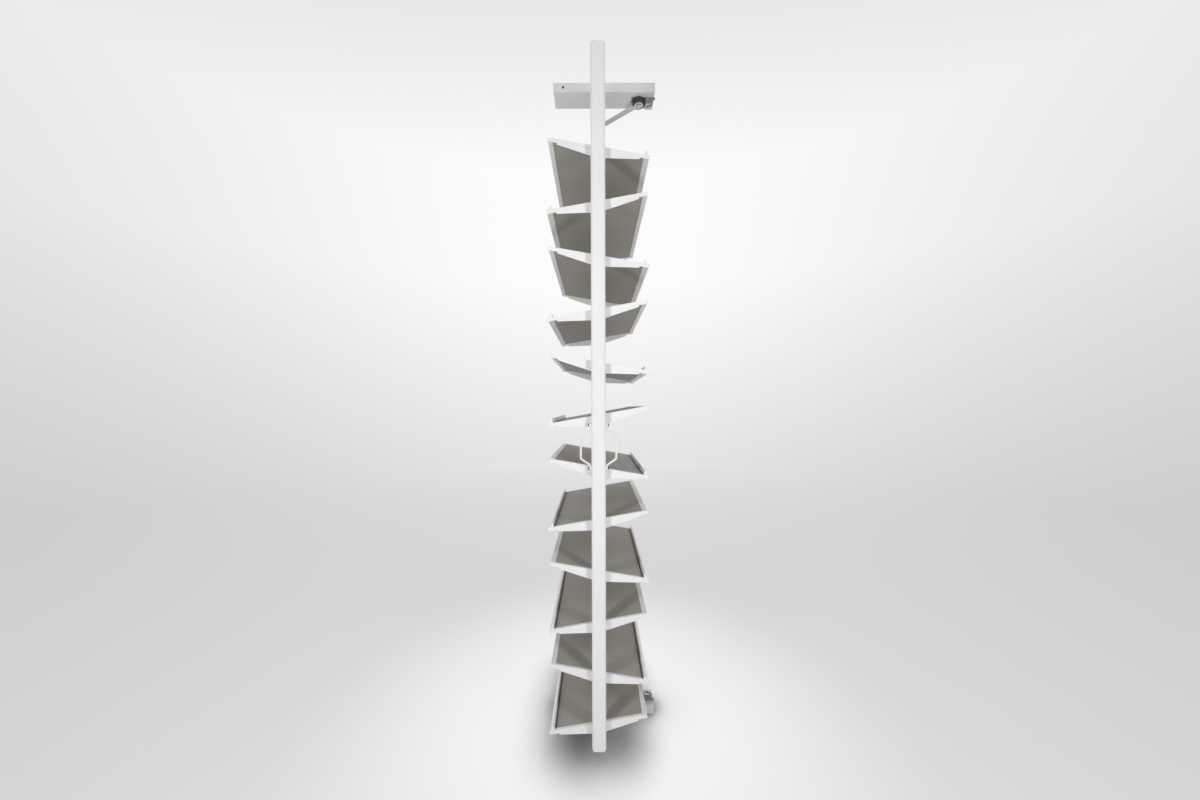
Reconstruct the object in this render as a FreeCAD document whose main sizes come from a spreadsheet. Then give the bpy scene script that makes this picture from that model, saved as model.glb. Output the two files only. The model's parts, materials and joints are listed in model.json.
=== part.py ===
import FreeCAD, Part
import math
import os
import re
import Sketcher

# Rotating shoe tower: a tall tube frame with twelve tilted trays. It turns about a pivot that two
# swing arms, one under the frame and one above it, carry out of the wardrobe. +Z is up, -Y is the
# front, and the origin lies on the wardrobe's floor below the middle of the frame. Millimetres.

trayCount = 12

dims = {
    # frame of rectangular tube
    "frameHeight": 1975, "frameDepth": 500, "postWidth": 40, "postDepth": 20,
    "tubeWall": 1.5, "tubeRadius": 7, "endGap": 57.5,
    # trays: a grey panel between two side rails, carried by a folded plate at each end
    "trayWidth": 288, "trayTilt": 10, "lowestTray": 52, "topRoom": 284, "rimAboveScrews": 17.5,
    "traySheet": 1.5, "rimFace": 11, "rimShelf": 8, "gussetHalf": 117, "gussetEnd": 15,
    "gussetDrop": 32, "rimCorner": 1.2, "panelThick": 3, "panelPlay": 0.3, "panelGrip": 8,
    "highStrip": 14, "lowStrip": 17, "lipSetback": 16, "lipHeight": 14, "lipRound": 0.6,
    # tray screws
    "traySpread": 10, "screwSize": 5, "screwHead": 9.5, "screwHeadHigh": 3,
    "screwReach": 7, "screwPlay": 0.15, "screwSocket": 3,
    # handles of bent wire on both sides of the front post
    "handleHeight": 874, "handleWire": 6, "handleReach": 30, "handleRun": 34, "handleFoot": 52,
    "handleScrews": 61, "handleBend": 8, "handleBoss": 11, "handleScrew": 4, "handleScrewHead": 9,
    "handleHeadHigh": 3, "handleScrewReach": 9,
    # rails that are fixed to the wardrobe
    "railLeft": 142.5, "railRight": 187, "railFront": 40, "railRear": 32, "railHeight": 29,
    "coverSheet": 1.5, "coverRound": 2, "coverPlay": 0.5, "plateThick": 3,
    "fixingAcross": 200, "fixingDeep": 44, "fixingHole": 5.5,
    "tabAcross": 18, "tabThick": 2, "tabHigh": 21, "coverScrewLeft": 111, "coverScrewUp": 14,
    "coverScrewSize": 4, "coverScrewHead": 7, "coverHeadHigh": 1.8, "coverScrewReach": 8,
    # bearing block, hub, arm and pins
    "hubAcross": 137, "hubDeep": -6, "hubSize": 40, "hubPlay": 0.3, "hubChamfer": 1,
    "hubBelowFrame": 11.5, "ribGroove": 1.5, "blockDeep": 26, "blockLeft": 23, "blockRight": 46,
    "blockWallGap": 1.7, "blockRound": 12, "footAboveRail": 1, "blockBelowFrame": 7.5,
    "finGroove": 1.5, "finWide": 2, "finPitch": 5, "finRise": 3,
    "clipLong": 7, "clipDeep": 8, "clipHigh": 5, "blockScrewNear": 14, "blockScrewFar": 38,
    "blockScrewSize": 5, "blockHeadHigh": 2.4, "blockScrewReach": 16,
    "leverWide": 5, "leverHigh": 3, "leverNear": 25, "leverBend": 36, "leverFar": 45,
    "leverRear": 3, "leverMiddle": -1, "leverFront": -9,
    "pinSize": 10, "pinHead": 14, "pinHeadHigh": 2.5, "pinDepth": 12, "bearingPlay": 0.05,
    "armWidth": 16, "armThick": 5, "armEye": 26,
    "pivotDeep": 105, "pivotShank": 12, "pivotShoulder": 20, "pivotRivet": 17,
    "pivotRivetHigh": 3, "pivotSpigot": 10, "pivotEndGap": 2.5, "pivotChamfer": 1,
    "bushSize": 16, "bushFlange": 26, "bushFlangeHigh": 2, "thrustGap": 0.3,
}

ribCount = 20
finCount = 4

doc = FreeCAD.newDocument("ShoeTower")
sheet = doc.addObject("Spreadsheet::Sheet", "Dims")
for row, (alias, value) in enumerate(dims.items(), start=1):
    sheet.set(f"A{row}", alias)
    sheet.set(f"B{row}", str(value))
    sheet.setAlias(f"B{row}", alias)
doc.recompute()


def cells(formula):
    """Turn a formula in plain alias names into an expression on the sheet's cells."""
    return re.sub(r"[A-Za-z]\w*", lambda word: f"Dims.{word[0]}" if word[0] in dims else word[0],
                  formula)


def number(formula):
    """Value of a formula, in mm or degrees."""
    result = sheet.evalExpression(cells(formula))
    return float(getattr(result, "Value", result))


# ---- levels and lines shared by several pieces ----

frameMiddle = "(endGap + frameHeight / 2)"
trayPitch = f"((frameHeight - lowestTray - topRoom) / {trayCount - 1})"
postMiddle = "((frameDepth - postDepth) / 2)"
traySpan = "(frameDepth - 2 * postDepth)"
panelTop = "(rimAboveScrews - traySheet)"
panelBottom = f"({panelTop} - panelThick)"
stripBottom = f"({panelBottom} - traySheet)"
halfTray = "(trayWidth / 2)"
lipTop = f"({panelTop} + lipHeight)"
lipInside = f"({halfTray} - lipSetback)"
lipOutside = f"({lipInside} + traySheet)"
ridgeRun = f"({halfTray} - {lipOutside})"
ridgeRise = f"({lipTop} - {stripBottom})"
ridgeLong = f"hypot({ridgeRun}; {ridgeRise})"
railBetweenPlates = f"({traySpan} - 2 * traySheet - 2 * panelPlay)"
plateSlack = "(coverSheet + coverPlay)"
footTop = "(railHeight + footAboveRail)"
blockTop = "(endGap - blockBelowFrame)"
hubLow = f"({footTop} + hubPlay)"
hubHigh = "(endGap - hubBelowFrame)"
armLevel = f"({hubHigh} - armThick)"
pinShoulder = f"({hubHigh} + hubPlay)"
armLong = "hypot(hubAcross; pivotDeep - hubDeep)"
armAngle = "atan2(pivotDeep - hubDeep; 0 - hubAcross)"
bushBottom = "(endGap - bushFlangeHigh)"


# ---- sketch and feature helpers ----

def newBody(label, x="0", y="0", z="0", turn=None):
    """A body whose place, and turn about Z where given, follow the sheet."""
    body = doc.addObject("PartDesign::Body", label)
    body.Label = label
    rotation = f"; rotation(vector(0; 0; 1); {turn})" if turn else "; rotation(vector(0; 0; 1); 0)"
    body.setExpression("Placement", cells(f"placement(vector({x}; {y}; {z}){rotation})"))
    return body


def newSketch(body, role, lift=None):
    """A sketch on one of the body's own planes, raised along its normal by lift."""
    sketch = body.newObject("Sketcher::SketchObject", f"{body.Label}_sketch")
    plane = next(item for item in body.Origin.OriginFeatures if item.Role == role)
    sketch.AttachmentSupport = [(plane, "")]
    sketch.MapMode = "FlatFace"
    if lift:
        sketch.setExpression("AttachmentOffset.Base.z", cells(lift))
    return sketch


def bindConstraint(sketch, constraint, formula):
    index = sketch.addConstraint(constraint)
    sketch.setExpression(f"Constraints[{index}]", cells(formula))


def pinPoint(sketch, geometry, end, x, y):
    """Hold a point of the sketch at a place given by two formulas."""
    bindConstraint(sketch, Sketcher.Constraint("DistanceX", -1, 1, geometry, end, number(x)), x)
    bindConstraint(sketch, Sketcher.Constraint("DistanceY", -1, 1, geometry, end, number(y)), y)


def addOutline(sketch, corners):
    """A closed outline of straight lines, each corner a pair of formulas."""
    spots = [FreeCAD.Vector(number(x), number(y), 0) for x, y in corners]
    lines = [sketch.addGeometry(Part.LineSegment(spots[i - 1], spots[i]))
             for i in range(len(spots))]
    for i, (x, y) in enumerate(corners):
        ahead = lines[(i + 1) % len(lines)]
        sketch.addConstraint(Sketcher.Constraint("Coincident", lines[i], 2, ahead, 1))
        pinPoint(sketch, lines[i], 2, x, y)


def addRectangle(sketch, left, right, low, high):
    addOutline(sketch, [(left, low), (right, low), (right, high), (left, high)])


def addCircle(sketch, x, y, radius):
    centre = FreeCAD.Vector(number(x), number(y), 0)
    circle = sketch.addGeometry(Part.Circle(centre, FreeCAD.Vector(0, 0, 1), number(radius)))
    bindConstraint(sketch, Sketcher.Constraint("Radius", circle, number(radius)), radius)
    pinPoint(sketch, circle, 3, x, y)


def addBentOutline(sketch, corners, bend, closed=True):
    """Straight runs joined by an arc of radius bend at every corner; an open one keeps its ends."""
    spots = [FreeCAD.Vector(number(x), number(y), 0) for x, y in corners]
    count, radius = len(corners), number(bend)
    arcs = {}
    for i in range(count) if closed else range(1, count - 1):
        here, back, ahead = spots[i], spots[i - 1], spots[(i + 1) % count]
        toBack, toAhead = (back - here).normalize(), (ahead - here).normalize()
        halfTurn = toBack.getAngle(toAhead) / 2
        inward = (toBack + toAhead).normalize()
        centre = here + inward * (radius / math.sin(halfTurn))
        reach = radius / math.tan(halfTurn)
        arc = Part.Arc(here + toBack * reach, centre - inward * radius, here + toAhead * reach)
        geometry = sketch.addGeometry(arc)
        starts = sketch.getPoint(geometry, 1).distanceToPoint(here + toBack * reach) < radius / 100
        arcs[i] = (geometry, 1, 2) if starts else (geometry, 2, 1)
    runs = []
    for i in range(count if closed else count - 1):
        j = (i + 1) % count
        begin = sketch.getPoint(arcs[i][0], arcs[i][2]) if i in arcs else spots[i]
        end = sketch.getPoint(arcs[j][0], arcs[j][1]) if j in arcs else spots[j]
        runs.append(sketch.addGeometry(Part.LineSegment(begin, end)))
    for i, (arc, into, outOf) in arcs.items():
        before, after = runs[i - 1], runs[i]
        sketch.addConstraint(Sketcher.Constraint("Tangent", before, 2, arc, into))
        sketch.addConstraint(Sketcher.Constraint("Tangent", arc, outOf, after, 1))
        corner = sketch.addGeometry(Part.Point(spots[i]), True)
        pinPoint(sketch, corner, 1, *corners[i])
        sketch.addConstraint(Sketcher.Constraint("PointOnObject", corner, 1, before))
        sketch.addConstraint(Sketcher.Constraint("PointOnObject", corner, 1, after))
        bindConstraint(sketch, Sketcher.Constraint("Radius", arc, radius), bend)
    if not closed:
        pinPoint(sketch, runs[0], 1, *corners[0])
        pinPoint(sketch, runs[-1], 2, *corners[-1])


def addFeature(body, kind, sketch, **settings):
    feature = body.newObject(f"PartDesign::{kind}", f"{body.Label}_{kind}")
    feature.Profile = sketch
    for name, value in settings.items():
        setattr(feature, name, value)
    return feature


def addPad(body, sketch, length, side="One side", backwards=False):
    pad = addFeature(body, "Pad", sketch, SideType=side, Reversed=backwards)
    pad.setExpression("Length", cells(length))
    return pad


def cutThrough(body, sketch):
    """Cut the sketch through everything on both sides of its plane."""
    return checkCut(body, addFeature(body, "Pocket", sketch, Type="ThroughAll",
                                     SideType="Symmetric"))


def cutDepth(body, sketch, depth, backwards=False):
    pocket = addFeature(body, "Pocket", sketch, Reversed=backwards)
    pocket.setExpression("Length", cells(depth))
    return checkCut(body, pocket)


def checkCut(body, pocket):
    """Stop where a cut has taken nothing away."""
    doc.recompute()
    for item in body.Group:
        if {"Invalid", "Error"} & set(item.State):
            raise RuntimeError(f"{item.Label} failed")
    if not pocket.Shape.Volume < pocket.BaseFeature.Shape.Volume - 1e-6:
        raise RuntimeError(f"{pocket.Label} cuts nothing")
    return pocket


def spin(body, halfProfile):
    """Turn a closed half profile, in radius and height, about the body's Z axis."""
    sketch = newSketch(body, "XZ_Plane")
    addOutline(sketch, halfProfile)
    turned = addFeature(body, "Revolution", sketch, Angle=360)
    turned.ReferenceAxis = (sketch, ["V_Axis"])
    return turned


def edgeNames(shape, wanted):
    return [f"Edge{number_}" for number_, edge in enumerate(shape.Edges, start=1) if wanted(edge)]


def runsAlong(edge, axis):
    """True for a straight edge that lies along the named axis."""
    if not isinstance(edge.Curve, (Part.Line, Part.LineSegment)):
        return False
    first, last = edge.Vertexes[0].Point, edge.Vertexes[-1].Point
    return abs((last - first).normalize().dot(axis)) > 0.999


alongX, alongY, alongZ = (FreeCAD.Vector(1, 0, 0), FreeCAD.Vector(0, 1, 0), FreeCAD.Vector(0, 0, 1))


def dress(body, kind, size, wanted):
    """Fillet or Chamfer on the edges of the body that the test picks."""
    doc.recompute()
    base = body.Tip
    feature = body.newObject(f"PartDesign::{kind}", f"{body.Label}_{kind}")
    feature.Base = (base, edgeNames(base.Shape, wanted))
    feature.setExpression("Radius" if kind == "Fillet" else "Size", cells(size))
    return feature


def mirrored(source, label, normal, height=None):
    """Mirror image of a piece about a plane through the origin, or at a height."""
    image = doc.addObject("Part::Mirroring", label)
    image.Label = label
    image.Source = source
    image.Normal = normal
    if height:
        image.setExpression("Base.z", cells(height))
    return image


def group(label, members, placement=None):
    """Separate solids that share one node."""
    compound = doc.addObject("Part::Compound", label)
    compound.Label = label
    compound.Links = members
    if placement:
        compound.setExpression("Placement", cells(placement))
    return compound


nodes = []


def keep(piece):
    nodes.append(piece)
    return piece


def keepPair(bottomPiece, topLabel):
    """Keep a piece of the bottom rail and its mirror image at the top of the tower."""
    keep(bottomPiece)
    keep(mirrored(bottomPiece, topLabel, alongZ, frameMiddle))


# ---- tube frame ----

def makeTube(body, role, length, side):
    ring = newSketch(body, role)
    for inset in ("0", "tubeWall"):
        wide, deep = f"(postWidth / 2 - {inset})", f"(postDepth / 2 - {inset})"
        addBentOutline(ring, [(f"0 - {wide}", f"0 - {deep}"), (wide, f"0 - {deep}"), (wide, deep),
                              (f"0 - {wide}", deep)], f"tubeRadius - {inset}")
    addPad(body, ring, length, side)


def trayScrewSpots(trayLevel, tiltSign):
    """Places, across and up, of the two screws that hold one end of a tray."""
    return [(f"{side} * traySpread * cos(trayTilt * 1 deg)",
             f"{trayLevel} - {side} * {tiltSign} * traySpread * sin(trayTilt * 1 deg)")
            for side in ("1", "(0 - 1)")]


def makePost(label, side):
    """Post with mitred ends and a row of screw holes in its inner wall; side is -1 at the front."""
    inner = -side
    body = newBody(label, y=f"{side} * {postMiddle}", z="endGap")
    makeTube(body, "XY_Plane", "frameHeight", "One side")
    mitres = newSketch(body, "YZ_Plane")
    outerFace, innerFace = f"{side} * postDepth / 2", f"{inner} * postDepth / 2"
    addOutline(mitres, [(outerFace, "0"), (innerFace, "0"), (innerFace, "postDepth")])
    addOutline(mitres, [(outerFace, "frameHeight"), (innerFace, "frameHeight - postDepth"),
                        (innerFace, "frameHeight")])
    cutThrough(body, mitres)
    holes = newSketch(body, "XZ_Plane")
    for level, tiltSign in (("lowestTray", "(0 - 1)"), (f"(lowestTray + {trayPitch})", "1")):
        for across, up in trayScrewSpots(level, tiltSign):
            addCircle(holes, across, up, "screwSize / 2 + screwPlay")
    firstHoles = cutDepth(body, holes, "postDepth", backwards=side > 0)
    pattern = body.newObject("PartDesign::LinearPattern", f"{label}_pattern")
    pattern.Originals = [firstHoles]
    pattern.Direction = (holes, ["V_Axis"])
    pattern.Occurrences = trayCount // 2
    pattern.setExpression("Length", cells(f"{trayPitch} * {trayCount - 2}"))
    body.Tip = pattern
    return body


frontPost = makePost("front_post", -1)
handleHoles = newSketch(frontPost, "YZ_Plane")
for side in ("+", "-"):
    addCircle(handleHoles, "0", f"handleHeight {side} handleScrews", "handleScrew / 2 + screwPlay")
cutThrough(frontPost, handleHoles)
keep(frontPost)
keep(makePost("rear_post", 1))

bottomBar = newBody("bottom_bar", z="endGap + postDepth / 2")
makeTube(bottomBar, "XZ_Plane", "frameDepth", "Symmetric")
barMitres = newSketch(bottomBar, "YZ_Plane")
for side in ("1", "(0 - 1)"):
    tip = f"{side} * frameDepth / 2"
    addOutline(barMitres, [(tip, "0 - postDepth / 2"), (tip, "postDepth / 2"),
                           (f"{side} * (frameDepth / 2 - postDepth)", "postDepth / 2")])
cutThrough(bottomBar, barMitres)
bushHole = newSketch(bottomBar, "XY_Plane")
addCircle(bushHole, "0", "pivotDeep", "bushSize / 2 + bearingPlay")
cutThrough(bottomBar, bushHole)
keepPair(bottomBar, "top_bar")


# ---- one tray, about the line of its screws ----

def makePanel():
    body = newBody("panelMaster", z=panelBottom)
    sketch = newSketch(body, "XY_Plane")
    addRectangle(sketch, f"traySheet + panelPlay - {halfTray}",
                 f"{halfTray} - lowStrip + panelGrip", f"0 - {railBetweenPlates} / 2",
                 f"{railBetweenPlates} / 2")
    addPad(body, sketch, "panelThick")
    return body


def makeLowRail():
    """Folded ridge along the tray's low side: it grips the panel's edge and stops the shoes."""
    body = newBody("lowRailMaster")
    inside = f"({halfTray} - lowStrip)"
    innerFoot = f"({halfTray} - traySheet * ({ridgeRun} + {ridgeLong}) / {ridgeRise})"
    innerTop = f"({lipTop} - traySheet * {ridgeLong} / {ridgeRun})"
    section = newSketch(body, "XZ_Plane")
    addOutline(section, [(inside, stripBottom), (halfTray, stripBottom), (lipOutside, lipTop),
                         (lipInside, lipTop), (lipInside, panelTop), (lipOutside, panelTop),
                         (lipOutside, innerTop), (innerFoot, panelBottom), (inside, panelBottom)])
    addPad(body, section, railBetweenPlates, "Symmetric")
    top, end = number(lipTop), number(halfTray)
    dress(body, "Fillet", "lipRound",
          lambda edge: runsAlong(edge, alongY) and (abs(edge.CenterOfMass.z - top) < 1e-6
                                                    or abs(edge.CenterOfMass.x - end) < 1e-6))
    return body


def makeHighRail():
    """Channel that grips the panel's edge at the tray's high side."""
    body = newBody("highRailMaster")
    outside, inside = f"(0 - {halfTray})", f"(highStrip - {halfTray})"
    web = f"(traySheet - {halfTray})"
    section = newSketch(body, "XZ_Plane")
    addOutline(section, [(outside, stripBottom), (inside, stripBottom), (inside, panelBottom),
                         (web, panelBottom), (web, panelTop), (outside, panelTop)])
    addPad(body, section, railBetweenPlates, "Symmetric")
    strip = newSketch(body, "XZ_Plane")
    addRectangle(strip, outside, inside, panelTop, "rimAboveScrews")
    addPad(body, strip, f"{traySpan} - 2 * rimShelf", "Symmetric")
    return body


def makeEndPlate():
    """Folded front plate: a rim, a shelf over the panel's edge and a gusset down to the post.

    At the low side an ear of the plate closes the end of the ridge."""
    body = newBody("endPlateMaster", y=f"0 - {traySpan} / 2")
    left, right = f"(0 - {halfTray})", halfTray
    rimLow, gussetLow = "(rimAboveScrews - rimFace)", "(rimAboveScrews - gussetEnd)"
    earFoot = f"({right} - (rimAboveScrews - {stripBottom}) * {ridgeRun} / {ridgeRise})"
    face = newSketch(body, "XZ_Plane")
    addOutline(face, [(left, "rimAboveScrews"), (left, rimLow), ("0 - gussetHalf", rimLow),
                      ("0 - gussetHalf", gussetLow), ("0", "rimAboveScrews - gussetDrop"),
                      ("gussetHalf", gussetLow), ("gussetHalf", rimLow), (right, rimLow),
                      (right, "rimAboveScrews"), (earFoot, "rimAboveScrews"),
                      (lipOutside, lipTop), (lipInside, lipTop), (lipInside, "rimAboveScrews")])
    addPad(body, face, "traySheet", backwards=True)
    shelf = newSketch(body, "XZ_Plane")
    addRectangle(shelf, left, f"{lipInside} - panelPlay", panelTop, "rimAboveScrews")
    addPad(body, shelf, "rimShelf", backwards=True)
    ends, top = number(halfTray), number("rimAboveScrews")
    dress(body, "Fillet", "rimCorner",
          lambda edge: runsAlong(edge, alongY) and abs(abs(edge.CenterOfMass.x) - ends) < 1e-6
          and abs(edge.CenterOfMass.z - top) < 1e-6)
    holes = newSketch(body, "XZ_Plane")
    for side in ("1", "(0 - 1)"):
        addCircle(holes, f"{side} * traySpread", "0", "screwSize / 2 + screwPlay")
    cutThrough(body, holes)
    return body


panelMaster = makePanel()
railMasters = [makeLowRail(), makeHighRail()]
frontPlate = makeEndPlate()
plateMasters = [frontPlate, mirrored(frontPlate, "rearPlateMaster", alongY)]

for index in range(trayCount):
    # the top tray is number one, and each tray is turned half round from its neighbours
    name = f"tray_{index + 1:02d}"
    level = f"(endGap + lowestTray + {trayCount - 1 - index} * {trayPitch})"
    place = (f"placement(vector(0; 0; {level}); "
             f"rotation({180 * (index % 2)}; trayTilt; 0))")
    keep(group(f"{name}_panel", [panelMaster], place))
    keep(group(f"{name}_rails", railMasters, place))
    keep(group(f"{name}_end_plates", plateMasters, place))


# ---- screws, each turned about its own axis with the seat of the head at its origin ----

def makeScrew(label, size, head, headHigh, reach, socket=None):
    """Flat-sided head above the origin and a plain shank below it."""
    body = newBody(label)
    bevel = f"({headHigh} / 4)"
    profile = [("0", f"0 - {reach}"), (f"{size} / 2", f"0 - {reach}"), (f"{size} / 2", "0"),
               (f"{head} / 2", "0"), (f"{head} / 2", f"{headHigh} - {bevel}"),
               (f"{head} / 2 - {bevel}", headHigh), ("0", headHigh)]
    spin(body, profile)
    if socket:
        key = newSketch(body, "XY_Plane", headHigh)
        half = f"({socket} / 2)"
        addRectangle(key, f"0 - {half}", half, f"0 - {half}", half)
        cutDepth(body, key, f"{headHigh} / 2")
    return body


def scatter(label, master, places):
    """Copies of a master piece, each a solid of its own, in one node."""
    doc.recompute()
    copies = []
    for base, direction in places:
        copy = master.Shape.copy()
        copy.Placement = FreeCAD.Placement(base, FreeCAD.Rotation(alongZ, direction))
        copies.append(copy)
    feature = doc.addObject("Part::Feature", label)
    feature.Label = label
    feature.Shape = Part.Compound(copies)
    return feature


def traySeats():
    """Seats of the tray screws' heads, on the inner face of every end plate."""
    seatDeep = number(f"{traySpan} / 2 - traySheet")
    for tray in range(trayCount):
        up = number(f"endGap + lowestTray + {trayCount - 1 - tray} * {trayPitch}")
        slope = 1 if tray % 2 == 0 else -1
        for across, drop in trayScrewSpots("0", str(slope) if slope > 0 else "(0 - 1)"):
            for side in (-1, 1):
                seat = FreeCAD.Vector(number(across), side * seatDeep, up + number(drop))
                yield seat, FreeCAD.Vector(0, -side, 0)


def handleSeats():
    """Seats of the handle screws' heads, on the bosses at both sides of the front post."""
    seatAcross = number("postWidth / 2 + handleWire")
    deep = -number(postMiddle)
    for side in (-1, 1):
        for up in ("handleScrews", "0 - handleScrews"):
            level = number(f"endGap + handleHeight + {up}")
            yield FreeCAD.Vector(side * seatAcross, deep, level), FreeCAD.Vector(side, 0, 0)


trayScrew = makeScrew("trayScrewMaster", "screwSize", "screwHead", "screwHeadHigh", "screwReach")
keep(scatter("tray_screws", trayScrew, traySeats()))


# ---- handles ----

def makeHandle(label):
    """Bent wire on the post's left side, with a boss for a screw at each end."""
    body = newBody(label, y=f"0 - {postMiddle}", z="endGap + handleHeight")
    close, far = "(0 - postWidth / 2 - handleWire / 2)", "(0 - postWidth / 2 - handleReach)"
    spine = newSketch(body, "XZ_Plane")
    addBentOutline(spine, [(close, "handleScrews"), (close, "handleFoot"), (far, "handleRun"),
                           (far, "0 - handleRun"), (close, "0 - handleFoot"),
                           (close, "0 - handleScrews")], "handleBend", closed=False)
    section = newSketch(body, "XY_Plane", "handleScrews")
    addCircle(section, close, "0", "handleWire / 2")
    doc.recompute()
    wire = addFeature(body, "AdditivePipe", section)
    wire.Spine = (spine, edgeNames(spine.Shape, lambda edge: True))
    bosses = newSketch(body, "YZ_Plane", "0 - postWidth / 2")
    holes = newSketch(body, "YZ_Plane")
    for end in ("handleScrews", "0 - handleScrews"):
        addCircle(bosses, "0", end, "handleBoss / 2")
        addCircle(holes, "0", end, "handleScrew / 2 + screwPlay")
    addPad(body, bosses, "handleWire", backwards=True)
    cutThrough(body, holes)
    return body


handleLeft = keep(makeHandle("handle_left"))
keep(mirrored(handleLeft, "handle_right", alongX))
handleScrew = makeScrew("handleScrewMaster", "handleScrew", "handleScrewHead", "handleHeadHigh",
                        "handleScrewReach", "screwSocket")
keep(scatter("handle_screws", handleScrew, handleSeats()))


# ---- rails: a plate on the wardrobe, its cover, and the block that holds the hub ----

def makeMountPlate():
    body = newBody("bottom_mount_plate")
    left, right = f"({plateSlack} - railLeft)", f"(railRight - {plateSlack})"
    front, rear = f"({plateSlack} - railFront)", f"(railRear - {plateSlack})"
    outline = newSketch(body, "XY_Plane")
    addRectangle(outline, left, right, front, rear)
    addPad(body, outline, "plateThick")
    tab = newSketch(body, "XZ_Plane", f"0 - {front}")
    addRectangle(tab, "0 - coverScrewLeft - tabAcross / 2", "tabAcross / 2 - coverScrewLeft", "0",
                 "tabHigh")
    addPad(body, tab, "tabThick", backwards=True)
    tabHole = newSketch(body, "XZ_Plane", f"0 - {front}")
    addCircle(tabHole, "0 - coverScrewLeft", "coverScrewUp", "coverScrewSize / 2 + screwPlay")
    cutDepth(body, tabHole, "tabThick")
    holes = newSketch(body, "XY_Plane")
    for across in ("fixingAcross / 2", "0 - fixingAcross / 2"):
        for deep in ("fixingDeep / 2", "0 - fixingDeep / 2"):
            addCircle(holes, across, deep, "fixingHole / 2")
    for along in ("blockScrewNear", "blockScrewFar"):
        addCircle(holes, f"hubAcross + {along}", "hubDeep", "blockScrewSize / 2 + screwPlay")
    cutThrough(body, holes)
    countersunk = number("blockScrewSize / 2 + screwPlay")
    dress(body, "Chamfer", "blockHeadHigh",
          lambda edge: isinstance(edge.Curve, Part.Circle) and abs(edge.CenterOfMass.z) < 1e-6
          and abs(edge.Curve.Radius - countersunk) < 1e-6)
    return body


def makeCover():
    """Pressed cover over the plate, open towards the wardrobe and cut out for the block."""
    body = newBody("bottom_rail_cover")
    outline = newSketch(body, "XY_Plane")
    addRectangle(outline, "0 - railLeft", "railRight", "0 - railFront", "railRear")
    addPad(body, outline, "railHeight")
    top = number("railHeight")
    dress(body, "Fillet", "coverRound",
          lambda edge: runsAlong(edge, alongZ) or abs(edge.CenterOfMass.z - top) < 1e-6)
    hollow = newSketch(body, "XY_Plane")
    addRectangle(hollow, "coverSheet - railLeft", "railRight - coverSheet",
                 "coverSheet - railFront", "railRear - coverSheet")
    cutDepth(body, hollow, "railHeight - coverSheet", backwards=True)
    window = newSketch(body, "XY_Plane")
    addRectangle(window, "hubAcross - blockLeft - coverPlay", "hubAcross + blockRight + coverPlay",
                 "hubDeep - blockDeep / 2 - coverPlay", "hubDeep + blockDeep / 2 + coverPlay")
    cutThrough(body, window)
    screwHole = newSketch(body, "XZ_Plane", "railFront")
    addCircle(screwHole, "0 - coverScrewLeft", "coverScrewUp", "coverScrewSize / 2 + screwPlay")
    cutDepth(body, screwHole, "2 * coverSheet")
    return body


def makeBlock():
    """Cast block: a foot under the hub, a ribbed wall beside it, a lever and a catch."""
    body = newBody("bottom_hub_block", x="hubAcross", y="hubDeep")
    wall = "(hubSize / 2 + blockWallGap)"
    outline = newSketch(body, "XZ_Plane")
    addOutline(outline, [("0 - blockLeft", "plateThick"), ("blockRight", "plateThick"),
                         ("blockRight", blockTop), (wall, blockTop), (wall, footTop),
                         ("0 - blockLeft", footTop)])
    addPad(body, outline, "blockDeep", "Symmetric")
    end = -number("blockLeft")
    dress(body, "Fillet", "blockRound",
          lambda edge: runsAlong(edge, alongZ) and abs(edge.CenterOfMass.x - end) < 1e-6)
    groove = newSketch(body, "XZ_Plane", "blockDeep / 2")
    addRectangle(groove, f"{wall} + finWide", f"{wall} + 2 * finWide", f"{footTop} + finRise",
                 blockTop)
    firstGroove = cutDepth(body, groove, "finGroove")
    fins = body.newObject("PartDesign::LinearPattern", "finPattern")
    fins.Originals = [firstGroove]
    fins.Direction = (groove, ["H_Axis"])
    fins.Occurrences = finCount
    fins.setExpression("Length", cells(f"finPitch * {finCount - 1}"))
    body.Tip = fins
    catch = newSketch(body, "XY_Plane", "railHeight + hubPlay")
    addRectangle(catch, "blockRight - finGroove", "blockRight + clipLong", "0 - blockDeep / 2",
                 "clipDeep - blockDeep / 2")
    addPad(body, catch, "clipHigh")
    lever = newSketch(body, "XY_Plane", blockTop)
    addOutline(lever, [("leverNear", "leverRear"), ("leverNear", "leverRear - leverWide"),
                       ("leverBend", "leverMiddle - leverWide"),
                       ("leverFar", "leverFront - leverWide / 2"),
                       ("leverFar", "leverFront + leverWide / 2"), ("leverBend", "leverMiddle")])
    addPad(body, lever, "leverHigh")
    pinHole = newSketch(body, "XY_Plane", footTop)
    addCircle(pinHole, "0", "0", "pinSize / 2")
    cutDepth(body, pinHole, f"{footTop} - pinDepth")
    threads = newSketch(body, "XY_Plane", "plateThick")
    for along in ("blockScrewNear", "blockScrewFar"):
        addCircle(threads, along, "0", "blockScrewSize / 2 + screwPlay")
    cutDepth(body, threads, "blockScrewReach", backwards=True)
    return body


keepPair(makeMountPlate(), "top_mount_plate")
keepPair(makeCover(), "top_rail_cover")
keepPair(makeBlock(), "top_hub_block")


# ---- swing arm: a moulded hub that grips a flat bar, and the pins at its two ends ----

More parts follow.
